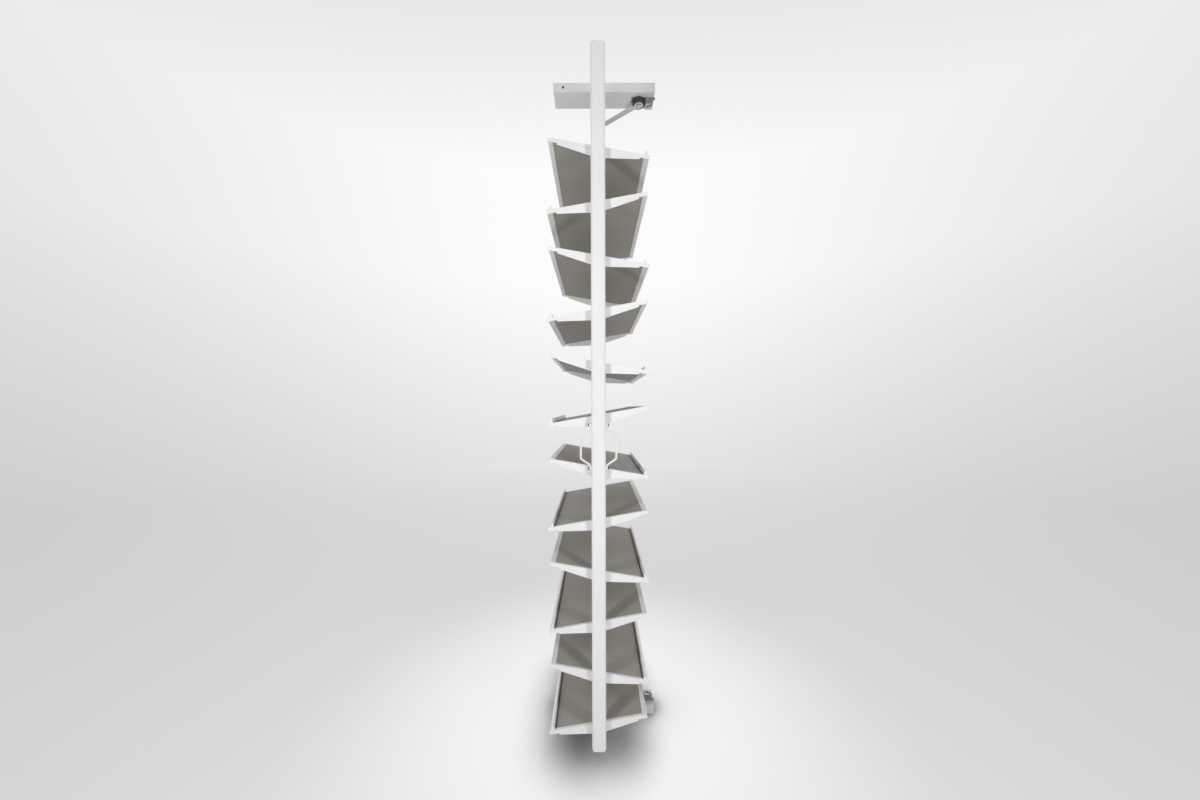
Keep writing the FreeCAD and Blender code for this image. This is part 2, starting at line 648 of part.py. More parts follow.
def makeHub():
    body = newBody("bottom_hub", x="hubAcross", y="hubDeep", z=hubLow, turn=armAngle)
    disc = newSketch(body, "XY_Plane")
    addCircle(disc, "0", "0", "hubSize / 2")
    addPad(body, disc, f"{hubHigh} - {hubLow}")
    dress(body, "Chamfer", "hubChamfer", lambda edge: isinstance(edge.Curve, Part.Circle))
    groove = newSketch(body, "XY_Plane")
    addCircle(groove, "0 - hubSize / 2", "0", "ribGroove")
    firstGroove = cutThrough(body, groove)
    ribs = body.newObject("PartDesign::PolarPattern", "ribPattern")
    ribs.Originals = [firstGroove]
    ribs.Axis = (groove, ["N_Axis"])
    ribs.Occurrences = ribCount
    body.Tip = ribs
    slot = newSketch(body, "XY_Plane", f"{armLevel} - {hubLow}")
    addRectangle(slot, "0", "hubSize", "0 - armWidth / 2", "armWidth / 2")
    cutDepth(body, slot, "armThick", backwards=True)
    seat = newSketch(body, "XY_Plane", f"{armLevel} - {hubLow}")
    addCircle(seat, "0", "0", "armWidth / 2")
    cutDepth(body, seat, "armThick", backwards=True)
    bore = newSketch(body, "XY_Plane")
    addCircle(bore, "0", "0", "pinSize / 2 + bearingPlay")
    cutThrough(body, bore)
    return body


def makeArm():
    body = newBody("bottom_arm", x="hubAcross", y="hubDeep", z=armLevel, turn=armAngle)
    bar = newSketch(body, "XY_Plane")
    addRectangle(bar, "0", armLong, "0 - armWidth / 2", "armWidth / 2")
    addPad(body, bar, "armThick")
    for along, size in (("0", "armWidth"), (armLong, "armEye")):
        end = newSketch(body, "XY_Plane")
        addCircle(end, along, "0", f"{size} / 2")
        addPad(body, end, "armThick")
    holes = newSketch(body, "XY_Plane")
    addCircle(holes, "0", "0", "pinSize / 2 + bearingPlay")
    addCircle(holes, armLong, "0", "pivotShank / 2 + bearingPlay")
    cutThrough(body, holes)
    return body


def makeHubPin():
    """Stud set in the block's foot; its head lies over the arm."""
    body = newBody("hubPinMaster", x="hubAcross", y="hubDeep")
    bevel, top = "(pinHeadHigh / 4)", f"({pinShoulder} + pinHeadHigh)"
    spin(body, [("0", "pinDepth"), ("pinSize / 2", "pinDepth"), ("pinSize / 2", pinShoulder),
                ("pinHead / 2", pinShoulder), ("pinHead / 2", f"{top} - {bevel}"),
                (f"pinHead / 2 - {bevel}", top), ("0", top)])
    return body


def makePivotPin():
    """Pin riveted into the arm's eye; its shoulder carries the frame, its spigot centres it."""
    body = newBody("pivotPinMaster", y="pivotDeep")
    rivetLow = f"({armLevel} - pivotRivetHigh)"
    shoulder, top = f"({bushBottom} - thrustGap)", "(endGap + postDepth - pivotEndGap)"
    spin(body, [("0", rivetLow), ("pivotRivet / 2", rivetLow), ("pivotRivet / 2", armLevel),
                ("pivotShank / 2", armLevel), ("pivotShank / 2", hubHigh),
                ("pivotShoulder / 2", hubHigh), ("pivotShoulder / 2", shoulder),
                ("pivotSpigot / 2", shoulder), ("pivotSpigot / 2", f"{top} - pivotChamfer"),
                ("pivotSpigot / 2 - pivotChamfer", top), ("0", top)])
    return body


def makeBush():
    """Flanged bush through both walls of the frame's bar."""
    body = newBody("bottom_bush", y="pivotDeep")
    bore, top = "(pivotSpigot / 2 + bearingPlay)", "(endGap + postDepth)"
    spin(body, [(bore, bushBottom), ("bushFlange / 2", bushBottom), ("bushFlange / 2", "endGap"),
                ("bushSize / 2", "endGap"), ("bushSize / 2", top), (bore, top)])
    return body


keepPair(makeHub(), "top_hub")
keepPair(makeArm(), "top_arm")
keepPair(makeBush(), "top_bush")
for label, master in (("hub_pins", makeHubPin()), ("pivot_pins", makePivotPin())):
    keep(group(label, [master, mirrored(master, f"{label}_top", alongZ, frameMiddle)]))


# ---- screws of the rails ----

def makeCountersunk(label, size, headHigh, reach):
    """Flat-topped screw whose cone widens by its own height, with its top at the origin."""
    body = newBody(label)
    spin(body, [("0", f"0 - {reach}"), (f"{size} / 2", f"0 - {reach}"),
                (f"{size} / 2", f"0 - {headHigh}"), (f"{size} / 2 + {headHigh}", "0"), ("0", "0")])
    return body


def coverSeats():
    across, deep = -number("coverScrewLeft"), -number("railFront")
    up = number("coverScrewUp")
    for level in (up, 2 * number(frameMiddle) - up):
        yield FreeCAD.Vector(across, deep, level), FreeCAD.Vector(0, -1, 0)


def blockSeats():
    for along in ("blockScrewNear", "blockScrewFar"):
        across, deep = number(f"hubAcross + {along}"), number("hubDeep")
        yield FreeCAD.Vector(across, deep, 0), FreeCAD.Vector(0, 0, -1)
        yield FreeCAD.Vector(across, deep, 2 * number(frameMiddle)), FreeCAD.Vector(0, 0, 1)


coverScrew = makeScrew("coverScrewMaster", "coverScrewSize", "coverScrewHead", "coverHeadHigh",
                       "coverScrewReach")
keep(scatter("cover_screws", coverScrew, coverSeats()))
blockScrew = makeCountersunk("blockScrewMaster", "blockScrewSize", "blockHeadHigh",
                             "blockScrewReach")
keep(scatter("block_screws", blockScrew, blockSeats()))


# ---- checks and export ----

doc.recompute()
for item in doc.Objects:
    if {"Invalid", "Error"} & set(item.State):
        raise RuntimeError(f"{item.Label} failed: {item.State}")
for node in nodes:
    if node.Shape.isNull() or not node.Shape.isValid():
        raise RuntimeError(f"{node.Label} has no valid shape")

os.makedirs("parts", exist_ok=True)
for node in nodes:
    node.Shape.exportStep(f"parts/{node.Label}.step")
print(f"{len(nodes)} nodes, {sum(len(node.Shape.Solids) for node in nodes)} solids")
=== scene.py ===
import json
import math

import bmesh
import bpy
from mathutils import Matrix, Vector


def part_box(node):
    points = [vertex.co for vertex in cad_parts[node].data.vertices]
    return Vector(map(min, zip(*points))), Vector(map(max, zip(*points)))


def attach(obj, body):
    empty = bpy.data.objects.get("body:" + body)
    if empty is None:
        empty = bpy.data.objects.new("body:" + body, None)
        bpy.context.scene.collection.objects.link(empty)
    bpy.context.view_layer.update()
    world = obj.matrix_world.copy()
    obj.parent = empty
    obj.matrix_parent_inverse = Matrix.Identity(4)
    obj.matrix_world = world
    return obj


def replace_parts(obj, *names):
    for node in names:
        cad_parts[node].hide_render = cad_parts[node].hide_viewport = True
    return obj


# lengths are in metres, angles in degrees, lamp powers in watts
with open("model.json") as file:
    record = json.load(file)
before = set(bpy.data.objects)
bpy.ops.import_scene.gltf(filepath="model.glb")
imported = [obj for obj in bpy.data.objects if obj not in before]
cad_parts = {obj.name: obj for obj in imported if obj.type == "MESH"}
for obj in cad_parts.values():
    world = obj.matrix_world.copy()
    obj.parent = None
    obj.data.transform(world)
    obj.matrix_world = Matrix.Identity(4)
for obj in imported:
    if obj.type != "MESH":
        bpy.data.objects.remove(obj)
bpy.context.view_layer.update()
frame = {"nodes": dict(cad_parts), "record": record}
bodyOf = {node: body for body, members in frame["record"]["behaviour"]["bodies"].items()
          for node in members}
print("frame loaded:", len(frame["nodes"]), "nodes")


def middleOf(node):
    low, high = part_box(node)
    return (low + high) / 2


midHeight = middleOf("hub_pins").z


# a height at the bottom fitting, or at the top one, which is the same fitting upside down
def levelAt(end, level):
    return level if end == "bottom" else 2 * midHeight - level


def tint(colour, factor=1.0):
    return tuple(channel * factor for channel in colour) + (1,)


def grey(tone):
    return tint((tone, tone, tone))


# a value that flows through a node tree: sums and products add Math nodes of their own
class Signal:
    def __init__(self, recipe, socket):
        self.recipe, self.socket = recipe, socket

    def maths(self, operation, first, second):
        return self.recipe.add("Math", {"operation": operation}, {0: first, 1: second})

    def __add__(self, other):
        return self.maths("ADD", self, other)

    def __sub__(self, other):
        return self.maths("SUBTRACT", self, other)

    def __rsub__(self, other):
        return self.maths("SUBTRACT", other, self)

    def __mul__(self, other):
        return self.maths("MULTIPLY", self, other)

    def __truediv__(self, other):
        return self.maths("DIVIDE", self, other)

    __radd__, __rmul__ = __add__, __mul__


class Recipe:
    def __init__(self, owner):
        owner.use_nodes = True
        self.owner, self.tree = owner, owner.node_tree
        self.tree.nodes.clear()

    # any node: its settings are set first, then the values or signals of its sockets
    def add(self, kind, settings=None, sockets=None, output=0):
        node = self.tree.nodes.new("ShaderNode" + kind)
        for name, value in (settings or {}).items():
            if name == "stops":
                self.setStops(node.color_ramp, value)
            else:
                setattr(node, name, value)
        for key, value in (sockets or {}).items():
            if isinstance(value, Signal):
                self.tree.links.new(value.socket, node.inputs[key])
            else:
                node.inputs[key].default_value = value
        return Signal(self, node.outputs[output]) if node.outputs else node

    def setStops(self, ramp, stops):
        while len(ramp.elements) < len(stops):
            ramp.elements.new(1)
        for element, (position, tone) in zip(ramp.elements, stops):
            element.position = position
            element.color = grey(tone)

    def place(self, stretch=(1, 1, 1)):
        spot = self.add("TexCoord", output="Object")
        return self.add("Mapping", None, {"Vector": spot, "Scale": stretch})

    def noise(self, size, detail=2.0, stretch=(1, 1, 1)):
        return self.add("TexNoise", None, {"Vector": self.place(stretch), "Scale": 1 / size,
                                           "Detail": detail})

    def window(self, value, low, high, lowResult=0.0, highResult=1.0):
        return self.add("MapRange", None, {0: value, 1: low, 2: high, 3: lowResult,
                                           4: highResult})

    def blend(self, amount, first, second):
        return self.add("Mix", {"data_type": "RGBA"}, {0: amount, 6: first, 7: second}, 2)

    def bump(self, height, depth, under=None):
        sockets = {"Height": height, "Distance": depth, "Strength": 1.0}
        if under:
            sockets["Normal"] = under
        return self.add("Bump", None, sockets)

    # 1 for the rays that show a surface, 0 for those that light others from it
    def shown(self):
        return sum(self.add("LightPath", output=f"Is {ray} Ray")
                   for ray in ("Camera", "Glossy", "Transmission"))

    def surface(self, sockets):
        shader = self.add("BsdfPrincipled", None, sockets)
        self.add("OutputMaterial", None, {"Surface": shader})
        return self.owner


def newRecipe(name):
    return Recipe(bpy.data.materials.new(name))


# the stretch of a noise's values over which a pattern goes from one tone to the other
narrowBand, wideBand = (0.35, 0.65), (0.3, 0.7)


# powder coat: orange peel, a finer grain on it in tone and gloss, and a faint drift of tone
def powderCoat(name, look):
    recipe = newRecipe(name)
    drift = recipe.window(recipe.noise(look["driftSize"]), *narrowBand)
    peel = recipe.noise(look["peelSize"], detail=1.0)
    grain = recipe.noise(look["grainSize"])
    dark = tint(look["colour"], look["driftDark"])
    colour = recipe.blend(drift, dark, tint(look["colour"]))
    return recipe.surface({
        "Base Color": recipe.blend(grain * look["grainShow"], colour, dark),
        "Roughness": recipe.window(grain, *wideBand, *look["roughness"]),
        "Coat Weight": look["coat"],
        "Coat Roughness": look["coatRoughness"],
        "Specular IOR Level": look["gloss"],
        "Normal": recipe.bump(grain, look["grainDeep"], recipe.bump(peel, look["peelDeep"])),
    })


whiteCoat = {
    "colour": (0.86, 0.86, 0.855), "driftSize": 0.09, "driftDark": 0.965,
    "peelSize": 0.0016, "peelDeep": 0.00005, "grainSize": 0.0004, "grainDeep": 0.00001,
    "grainShow": 0.35, "roughness": (0.36, 0.52), "coat": 0.06, "coatRoughness": 0.3,
    "gloss": 0.45,
}
railCoat = {**whiteCoat, "colour": (0.78, 0.78, 0.775), "roughness": (0.4, 0.56)}
armCoat = {**whiteCoat, "colour": (0.64, 0.64, 0.64), "driftDark": 0.93,
           "roughness": (0.34, 0.5)}
castCoat = {**whiteCoat, "colour": (0.3, 0.3, 0.303), "driftDark": 0.82, "driftSize": 0.006,
            "peelSize": 0.0011, "peelDeep": 0.00012, "grainShow": 0.6, "roughness": (0.42, 0.62)}


# matt laminate of the panels: soft pebbled emboss with a fine cloth-like streak in it
panelLook = {
    "colour": (0.4, 0.377, 0.338), "darker": 0.9, "lighter": 1.05, "cloudSize": 0.06,
    "cloudShare": 0.4, "pebbleSize": 0.0011, "pebbleDeep": 0.00012, "pebbleSoft": 0.6,
    "pebbleShow": 0.5, "pebbleBand": (0.2, 0.8), "streakSize": 0.0009,
    "streakStretch": (0.06, 1, 1), "crossStretch": (1, 0.06, 1), "streakDeep": 0.00004,
    "roughness": (0.54, 0.7), "gloss": 0.42,
}


def panelLaminate(name, look):
    recipe = newRecipe(name)
    cloud = recipe.window(recipe.noise(look["cloudSize"], detail=3.0), *wideBand)
    pebble = recipe.add("TexVoronoi", {"feature": "SMOOTH_F1"},
                        {"Vector": recipe.place(), "Scale": 1 / look["pebbleSize"],
                         "Smoothness": look["pebbleSoft"]})
    along = recipe.noise(look["streakSize"], stretch=look["streakStretch"])
    across = recipe.noise(look["streakSize"], stretch=look["crossStretch"])
    thread = recipe.window(along + across, *(2 * limit for limit in narrowBand))
    dark, light = (tint(look["colour"], look[key]) for key in ("darker", "lighter"))
    mottle = cloud * look["cloudShare"] + thread * (1 - look["cloudShare"])
    return recipe.surface({
        "Base Color": recipe.blend(pebble * look["pebbleShow"],
                                   recipe.blend(mottle, dark, light), dark),
        "Roughness": recipe.window(pebble, *look["pebbleBand"], *look["roughness"]),
        "Specular IOR Level": look["gloss"],
        "Normal": recipe.bump(thread, look["streakDeep"],
                              recipe.bump(1 - pebble, look["pebbleDeep"])),
    })


# moulded nylon or rubber: spark-eroded grain, in another tone where the grain stands up
def mouldedNylon(name, look):
    recipe = newRecipe(name)
    grain = recipe.noise(look["grainSize"], detail=3.0)
    flow = recipe.window(recipe.noise(look["flowSize"], detail=1.0), *narrowBand)
    colour = recipe.blend(flow, tint(look["colour"]), tint(look["colour"], look["flowTone"]))
    return recipe.surface({
        "Base Color": recipe.blend(grain * look["grainShow"], colour,
                                   tint(look["colour"], look["grainTone"])),
        "Roughness": recipe.window(grain, *wideBand, *look["roughness"]),
        "Normal": recipe.bump(grain, look["grainDeep"]),
    })


blackNylon = {"colour": (0.03, 0.03, 0.031), "grainSize": 0.0005, "grainDeep": 0.00003,
              "grainShow": 0.5, "grainTone": 1.8, "flowSize": 0.02, "flowTone": 1.5,
              "roughness": (0.42, 0.6)}
paleNylon = {**blackNylon, "colour": (0.72, 0.71, 0.67), "flowTone": 0.93, "grainTone": 0.96}
# dark tone of the panel beads: painted shade for the corner at each lip
grooveShadeRubber = {**blackNylon, "colour": (0.07, 0.068, 0.064), "flowTone": 1.2, "grainTone": 1.4,
              "roughness": (0.66, 0.84)}


# bare metals: speckle or scratches over a duller and a brighter tone
def bareMetal(name, look):
    recipe = newRecipe(name)
    patch = recipe.window(recipe.noise(look["patchSize"], detail=3.0), *narrowBand)
    grain = recipe.noise(look["grainSize"], detail=4.0, stretch=look["stretch"])
    dull = tint(look["colour"], look["dull"])
    colour = recipe.blend(patch, dull, tint(look["colour"]))
    return recipe.surface({
        "Base Color": recipe.blend(grain * look["grainShow"], colour, dull),
        "Metallic": look["metallic"],
        "Roughness": recipe.window((patch + grain) * 0.5, *look["glossBand"],
                                   *look["roughness"]),
        "Normal": recipe.bump(grain, look["grainDeep"]),
    })


zincPlate = {"colour": (0.66, 0.665, 0.67), "dull": 0.86, "patchSize": 0.004,
             "grainSize": 0.0006, "stretch": (1, 1, 0.15), "grainDeep": 0.00001,
             "grainShow": 0.4, "glossBand": (0.25, 0.75), "metallic": 0.95,
             "roughness": (0.24, 0.42)}
blackSteel = {**zincPlate, "colour": (0.022, 0.022, 0.024), "dull": 0.8, "patchSize": 0.003,
              "grainSize": 0.0005, "stretch": (1, 1, 1), "metallic": 0.5,
              "roughness": (0.34, 0.5)}

# named as the record's material slots are
finishes = {
    "white_paint": powderCoat("whitePowderCoat", whiteCoat),
    "rail_paint": powderCoat("railPowderCoat", railCoat),
    "arm_paint": powderCoat("armPowderCoat", armCoat),
    "dark_casting": powderCoat("coatedCasting", castCoat),
    "grey_panel": panelLaminate("panelLaminate", panelLook),
    "black_nylon": mouldedNylon("blackNylon", blackNylon),
    "bush_nylon": mouldedNylon("paleNylon", paleNylon),
    "zinc": bareMetal("zincPlate", zincPlate),
    "black_steel": bareMetal("blackSteel", blackSteel),
}
# finish of the beads: a dark rubber whose tone is painted shade for the corner at each lip
shadeBeadRubber = mouldedNylon("grooveShadeRubber", grooveShadeRubber)
slotOf = {}
for name, node in frame["nodes"].items():
    slotOf[name] = node.material_slots[0].material.name.split(".")[0]
    for holder in node.material_slots:
        holder.material = finishes[slotOf[name]]
print("finishes set:", len(finishes))

smoothBelow = 35        # two faces that meet at less than this are shaded as one


def makePiece(name, shape, like, finish=None):
    mesh = bpy.data.meshes.new(name)
    shape.to_mesh(mesh)
    shape.free()
    if "custom_normal" in mesh.attributes:
        mesh.attributes.remove(mesh.attributes["custom_normal"])
    mesh.materials.clear()
    mesh.materials.append(finish or finishes[slotOf[like]])
    mesh.shade_smooth()
    mesh.set_sharp_from_angle(angle=math.radians(smoothBelow))
    piece = bpy.data.objects.new(name, mesh)
    bpy.context.scene.collection.objects.link(piece)
    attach(piece, bodyOf[like])
    return piece


# folded, cut and cast pieces get the soft edges that folding and coating leave
softEdges = {"post": 0.0003, "bar": 0.0003, "end_plates": 0.0005, "rails": 0.0004,
             "panel": 0.0004, "arm": 0.0006, "hub_block": 0.0004}
softening = {"joinWithin": 1e-6, "flatBelow": 0.5, "sharpAbove": 40, "segments": 2}


def softenEdges(node, width):
    shape = bmesh.new()
    shape.from_mesh(frame["nodes"][node].data)
    bmesh.ops.remove_doubles(shape, verts=shape.verts, dist=softening["joinWithin"])
    bmesh.ops.dissolve_limit(shape, angle_limit=math.radians(softening["flatBelow"]),
                             verts=shape.verts, edges=shape.edges)
    piece = makePiece(f"{node}_soft", shape, node)
    bevel = piece.modifiers.new("softEdges", "BEVEL")
    bevel.width = width
    bevel.segments = softening["segments"]
    bevel.limit_method = "ANGLE"
    bevel.angle_limit = math.radians(softening["sharpAbove"])
    bevel.use_clamp_overlap = False
    bevel.harden_normals = True
    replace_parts(piece, node)


for node in list(frame["nodes"]):
    for ending, width in softEdges.items():
        if node.endswith("_" + ending):
            softenEdges(node, width)
print("edges softened")


def pick(geometry, kind):
    return [item for item in geometry if isinstance(item, kind)]


def edgesOf(circle):
    return list(dict.fromkeys(edge for point in circle["verts"] for edge in point.link_edges))


# one loop of edges drawn on to a new radius and height
def turnedRing(shape, loop, radius, rise):
    made = bmesh.ops.extrude_edge_only(shape, edges=loop)["geom"]
    points = pick(made, bmesh.types.BMVert)
    now = points[0].co.xy.length
    bmesh.ops.scale(shape, verts=points, vec=(radius / now, radius / now, 1))
    bmesh.ops.translate(shape, verts=points, vec=(0, 0, rise))
    return pick(made, bmesh.types.BMEdge)


# domed head with a hexagon socket, seated at the origin
def screwHead(look):
    shape = bmesh.new()
    radius, high = look["head"] / 2, look["high"]
    rim = bmesh.ops.create_circle(shape, cap_ends=True, segments=look["segments"], radius=radius)
    loop = edgesOf(rim)
    for ring, rise in look["dome"]:
        loop = turnedRing(shape, loop, radius * ring, high * rise)
    key = bmesh.ops.create_circle(shape, cap_ends=False, segments=6, radius=look["key"] / 2)
    bmesh.ops.translate(shape, verts=key["verts"], vec=(0, 0, high))
    keyLoop = edgesOf(key)
    bmesh.ops.bridge_loops(shape, edges=loop + keyLoop)
    floorLoop = turnedRing(shape, keyLoop, look["key"] / 2, -high * look["keyDeep"])
    bmesh.ops.contextual_create(shape, geom=floorLoop)
    bmesh.ops.recalc_face_normals(shape, faces=shape.faces)
    return shape


# one mesh with the same shape at each seat, turned to face the seat's way
def scatter(single, seats):
    master = bpy.data.meshes.new("screwMaster")
    single.to_mesh(master)
    single.free()
    together = bmesh.new()
    for seat, facing in seats:
        before = len(together.verts)
        together.from_mesh(master)
        together.verts.ensure_lookup_table()
        turn = Vector((0, 0, 1)).rotation_difference(Vector(facing)).to_matrix().to_4x4()
        bmesh.ops.transform(together, matrix=Matrix.Translation(seat) @ turn,
                            verts=together.verts[before:])
    bpy.data.meshes.remove(master)
    return together


# from a tray's own axes: spread of its screws, and the corner where the bead lies
trays = {"tilt": 10, "spread": 0.01, "plateThick": 0.0015, "panelTop": 0.016,
         "lipInside": 0.128, "shelfInside": 0.222}
trayCount = sum(node.endswith("_panel") for node in frame["nodes"])


# rows are counted from the bottom, the nodes' names from the top
def trayName(row):
    return f"tray_{trayCount - row:02d}"


trayPitch = middleOf(f"{trayName(1)}_panel").z - middleOf(f"{trayName(0)}_panel").z
lowestTray = middleOf("tray_screws").z - trayPitch * (trayCount - 1) / 2
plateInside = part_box(f"{trayName(0)}_end_plates")[1].y - trays["plateThick"]


# place of a tray's own axes; its low side points to its own +X
def trayPlace(row):
    turn = 0 if row % 2 else 180
    return (Matrix.Translation((0, 0, lowestTray + row * trayPitch))
            @ Matrix.Rotation(math.radians(turn), 4, "Z")
            @ Matrix.Rotation(math.radians(trays["tilt"]), 4, "Y"))


def trayScrewSeats():
    for row in range(trayCount):
        for side in (-1, 1):
            for end in (-1, 1):
                seat = trayPlace(row) @ Vector((side * trays["spread"], 0, 0))
                seat.y = end * plateInside
                yield seat, (0, -end, 0)


handles = {"boss": 0.006, "spread": 0.061}


def handleScrewSeats():
    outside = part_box("front_post")[1].x + handles["boss"]
    deep, level = middleOf("front_post").y, middleOf("handle_left").z
    for side in (-1, 1):
        for end in (-1, 1):
            seat = Vector((side * outside, deep, level + end * handles["spread"]))
            yield seat, (side, 0, 0)


covers = {"screwLevel": 0.014}


def coverScrewSeats():
    across, front = middleOf("cover_screws").x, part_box("bottom_rail_cover")[0].y
    for end in ("bottom", "top"):
        yield Vector((across, front, levelAt(end, covers["screwLevel"]))), (0, -1, 0)


# the dome's rings: share of the head's radius, and share of its height that each one adds
trayScrew = {"head": 0.0095, "high": 0.003, "key": 0.003, "keyDeep": 0.6, "segments": 20,
             "dome": ((1.0, 0.35), (0.96, 0.25), (0.84, 0.22), (0.62, 0.18))}
handleScrew = {**trayScrew, "head": 0.009, "segments": 24}
coverScrew = {**trayScrew, "head": 0.007, "high": 0.0018, "key": 0.0025, "segments": 24}
for node, look, seats in (("tray_screws", trayScrew, trayScrewSeats()),
                          ("handle_screws", handleScrew, handleScrewSeats()),
                          ("cover_screws", coverScrew, coverScrewSeats())):
    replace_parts(makePiece(f"{node}_socket", scatter(screwHead(look), seats), node), node)
print("screws made")


# rubber bead in the corner between each panel and the lip at its low side; its dark tone is
# painted shade, standing in for the shade of that narrow corner
bead = {"wide": 0.004, "high": 0.002, "segments": 16, "endGap": 0.0005}


def makeBead(row):
    reach = trays["shelfInside"] - bead["endGap"]
    shape = bmesh.new()
    bmesh.ops.create_circle(shape, cap_ends=True, segments=bead["segments"],
                            radius=bead["wide"] / 2)
    bmesh.ops.rotate(shape, verts=shape.verts, matrix=Matrix.Rotation(math.pi / 2, 3, "X"))
    bmesh.ops.bisect_plane(shape, geom=[*shape.verts, *shape.edges, *shape.faces],
                           plane_co=(0, 0, 0), plane_no=(0, 0, 1), clear_inner=True)
    bmesh.ops.scale(shape, verts=shape.verts, vec=(1, 1, 2 * bead["high"] / bead["wide"]))
    bmesh.ops.translate(shape, verts=shape.verts, vec=(trays["lipInside"] - bead["wide"] / 2,
                                                       -reach, trays["panelTop"]))
    drawn = bmesh.ops.extrude_face_region(shape, geom=list(shape.faces))["geom"]
    bmesh.ops.translate(shape, verts=pick(drawn, bmesh.types.BMVert), vec=(0, 2 * reach, 0))
    bmesh.ops.recalc_face_normals(shape, faces=shape.faces)
    bmesh.ops.transform(shape, matrix=trayPlace(row), verts=shape.verts)
    makePiece(f"{trayName(row)}_bead", shape, f"{trayName(row)}_panel", shadeBeadRubber)


for row in range(trayCount):
    makeBead(row)
print("beads laid:", trayCount)


# zinc plate on the face of each bearing block that looks at the frame
capPlate = {"left": 0.1592, "right": 0.1825, "inset": 0.0005, "level": 0.05, "thick": 0.0008,
            "round": 0.0025, "segments": 4}


def makeBlockPlate(end):
    low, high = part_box(f"{end}_hub_block")
    wide, thick = capPlate["right"] - capPlate["left"], capPlate["thick"]
    deep = high.y - low.y - 2 * capPlate["inset"]
    shape = bmesh.new()
    bmesh.ops.create_cube(shape, size=1)
    bmesh.ops.scale(shape, verts=shape.verts, vec=(wide, deep, thick))
    corners = [edge for edge in shape.edges
               if abs((edge.verts[0].co - edge.verts[1].co).z) > thick / 2]
    bmesh.ops.bevel(shape, geom=corners, offset=capPlate["round"], affect="EDGES",
                    segments=capPlate["segments"], profile=0.5, material=-1)
    level = levelAt(end, capPlate["level"] + thick / 2)
    bmesh.ops.translate(shape, verts=shape.verts,
                        vec=(capPlate["left"] + wide / 2, (low.y + high.y) / 2, level))
    makePiece(f"{end}_block_plate", shape, f"{end}_mount_plate")


for end in ("bottom", "top"):
    makeBlockPlate(end)
print("block plates laid")


# pressed washer on the face of each hub, round the pin's head, over the end of the arm
washer = {"inner": 0.0078, "outer": 0.0148, "thick": 0.0009, "edge": 0.0003, "edgeAbove": 60,
          "segments": 48, "edgeSegments": 2}


def makeHubWasher(end):
    hub, thick = middleOf(f"{end}_hub"), washer["thick"]
    shape = bmesh.new()
    for radius in (washer["inner"], washer["outer"]):
        bmesh.ops.create_circle(shape, segments=washer["segments"], radius=radius)
    bmesh.ops.bridge_loops(shape, edges=shape.edges[:])
    drawn = bmesh.ops.extrude_face_region(shape, geom=shape.faces[:])["geom"]
    bmesh.ops.translate(shape, verts=pick(drawn, bmesh.types.BMVert), vec=(0, 0, thick))
    bmesh.ops.recalc_face_normals(shape, faces=shape.faces)
    rims = [edge for edge in shape.edges
            if edge.calc_face_angle(0) > math.radians(washer["edgeAbove"])]
    bmesh.ops.bevel(shape, geom=rims, offset=washer["edge"], affect="EDGES",
                    segments=washer["edgeSegments"], profile=0.5, material=-1)
    level = levelAt(end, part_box("bottom_hub")[1].z + thick / 2) - thick / 2
    bmesh.ops.translate(shape, verts=shape.verts, vec=(hub.x, hub.y, level))
    makePiece(f"{end}_hub_washer", shape, f"{end}_hub", finishes["zinc"])


for end in ("bottom", "top"):
    makeHubWasher(end)
print("hub washers laid")


# tones of the backdrop from straight down to straight up, how much darker it is to the sides,
# and the light that it gives: even, and stronger from behind
backdrop = {"tones": ((0.4, 0.75), (0.65, 0.98), (0.75, 0.98), (1.0, 0.55)), "sideDrop": 0.3,
            "even": 0.21, "behind": 1.4, "from": 0.2}
# pale paper floor; what the camera sees of it is mostly a glow of its own: an even tone with a
# painted pool of light round the foot of the tower, brighter too where it runs out into the
# backdrop; the rest of what is seen is lit and takes the lamps' shadow
stage = {"radius": 6.0, "segments": 96, "drop": 0.0004, "tone": 0.8, "litTone": 0.14,
         "paintedPoolTone": 0.8, "farTone": 0.6, "horizonTone": 0.745, "paintedPool": (0.25, 1.1),
         "shadeReach": 0.17, "shadePower": 2.6, "shadeSamples": 16, "fibreSize": 0.002,
         "fibreShow": 0.1, "fibreDark": 0.9, "roughness": 0.9}


def floorPaper(look):
    recipe = newRecipe("floorPaper")
    shown = recipe.shown()
    distance = recipe.add("VectorMath", {"operation": "LENGTH"}, {0: recipe.place()}, "Value")
    poolInner, poolOuter = look["paintedPool"]
    # painted pool of light: the glow is brighter round the foot of the tower, out to the pool's
    # outer edge
    paintedPool = recipe.add("MapRange", {"interpolation_type": "SMOOTHSTEP"},
                      {0: distance, 1: poolInner, 2: poolOuter, 3: look["paintedPoolTone"],
                       4: look["farTone"]})
    toSide = recipe.add("SeparateXYZ", None, {0: recipe.place()}, "X") / distance
    horizon = (1 - toSide * toSide * backdrop["sideDrop"]) * look["horizonTone"]
    farness = recipe.window(distance, poolOuter, look["radius"])
    # the glow: the painted pool of light, rising towards the backdrop's horizon tone far out
    glowWithPaintedPool = paintedPool + farness * (horizon - look["farTone"])
    # painted shade: less of the glow in the corner between the floor and what stands close above
    # it
    openness = recipe.add("AmbientOcclusion", {"samples": look["shadeSamples"]},
                          {"Distance": look["shadeReach"]}, "AO")
    shade = recipe.add("Math", {"operation": "POWER"}, {0: openness, 1: look["shadePower"]})
    fibre = recipe.noise(look["fibreSize"], detail=3.0)
    plain = recipe.blend(fibre * look["fibreShow"], grey(look["tone"]),
                         grey(look["tone"] * look["fibreDark"]))
    paper = recipe.surface({
        "Base Color": recipe.blend(shown, plain, grey(look["litTone"])),
        "Roughness": look["roughness"],
        "Specular IOR Level": 0.0,
        "Emission Strength": 1.0,
        "Emission Color": recipe.blend(shown * glowWithPaintedPool * shade, grey(0), grey(1)),
    })
    paper.cycles.emission_sampling = "NONE"
    return paper


